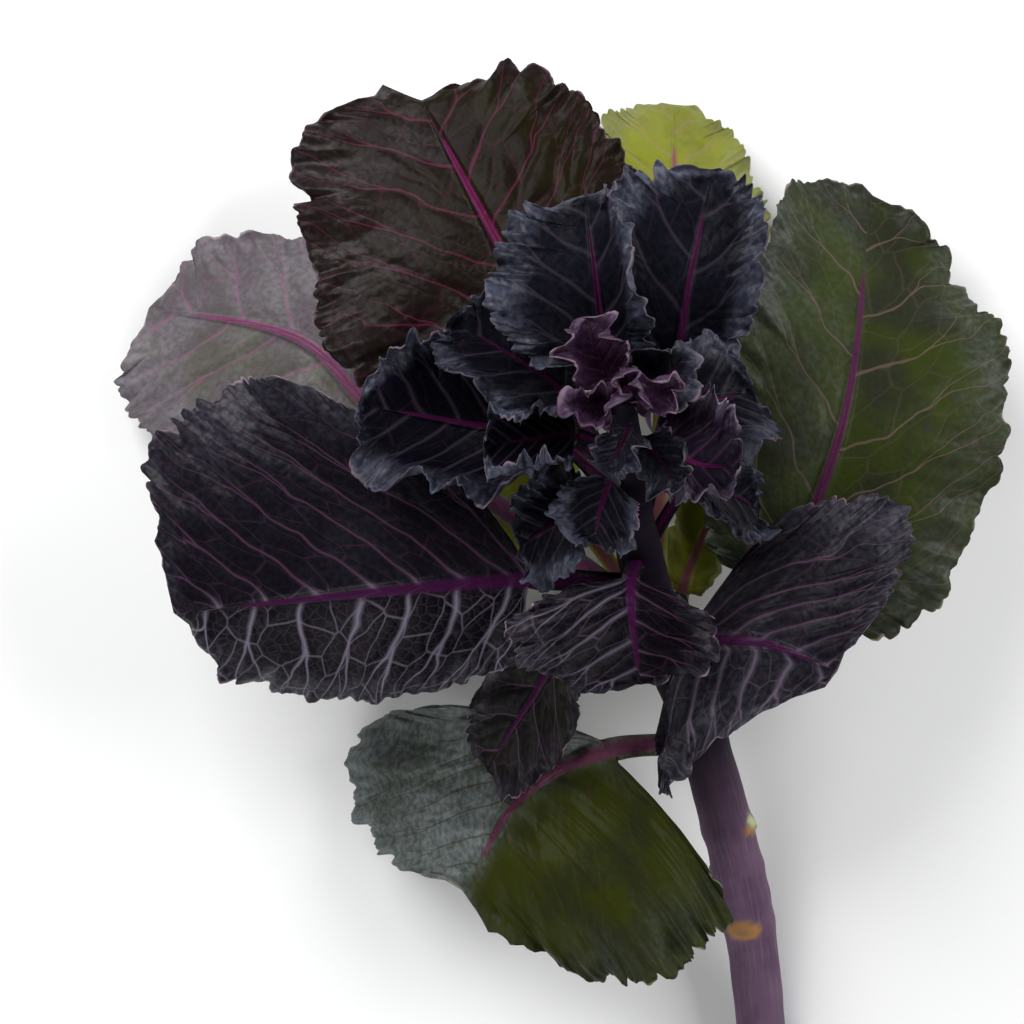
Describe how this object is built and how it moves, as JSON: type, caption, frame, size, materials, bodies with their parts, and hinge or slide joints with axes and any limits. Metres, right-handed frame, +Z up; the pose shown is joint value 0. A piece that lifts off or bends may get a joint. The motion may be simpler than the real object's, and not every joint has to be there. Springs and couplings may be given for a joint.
{
  "type": "kale head",
  "caption": "Head of dark purple ornamental kale on a long cut stem, lying down, with broad frilled leaves opening around a small tight heart",
  "frame": {"origin": "centre of the bounding box's bottom face, on the surface the cut kale lies on", "axes": "+Z up, +Y along the length from the cut end of the stem toward the far outer leaves, +X to the right seen from above with the cut end nearest"},
  "size_m": [0.2692, 0.3166, 0.1336],
  "materials": {
    "dark": "dark purple leaf blade with a waxy bloom",
    "inner": "blue-black young leaf blade with a slate bloom",
    "heart": "maroon and lilac heart leaf",
    "plum": "plum-lilac young leaf blade",
    "brown": "brownish purple leaf blade with olive base",
    "grey": "grey-lavender leaf blade with heavy bloom",
    "green": "dark green leaf blade with purple midrib",
    "olive": "dark to olive green leaf blade with grey sheen",
    "yellow": "thin yellow-green leaf blade",
    "stem": "matte mauve stem with a pale bloom"
  },
  "bodies": {
    "root": {"stem": "stem", "heart_leaf_1": "heart", "heart_leaf_2": "heart", "heart_leaf_3": "heart", "heart_leaf_4": "heart", "heart_leaf_5": "inner", "heart_leaf_6": "inner", "heart_leaf_7": "inner", "inner_leaf_cup": "inner", "inner_leaf_plum": "plum", "inner_leaf_low": "inner", "inner_leaf_top": "inner", "inner_leaf_upper_left": "inner", "inner_leaf_frill_right": "inner", "inner_leaf_left": "inner", "inner_leaf_top_right": "inner", "inner_leaf_frill_low": "inner", "inner_leaf_frill_side": "inner", "front_leaf_centre": "dark", "front_leaf_left": "dark", "outer_leaf_top_left": "brown", "front_leaf_right": "dark", "outer_leaf_right": "green", "hanging_leaf": "dark", "outer_leaf_bottom": "olive", "outer_leaf_left": "grey", "under_leaf_left": "yellow", "outer_leaf_back": "yellow", "under_leaf_right": "yellow"}
  },
  "joints": []
}
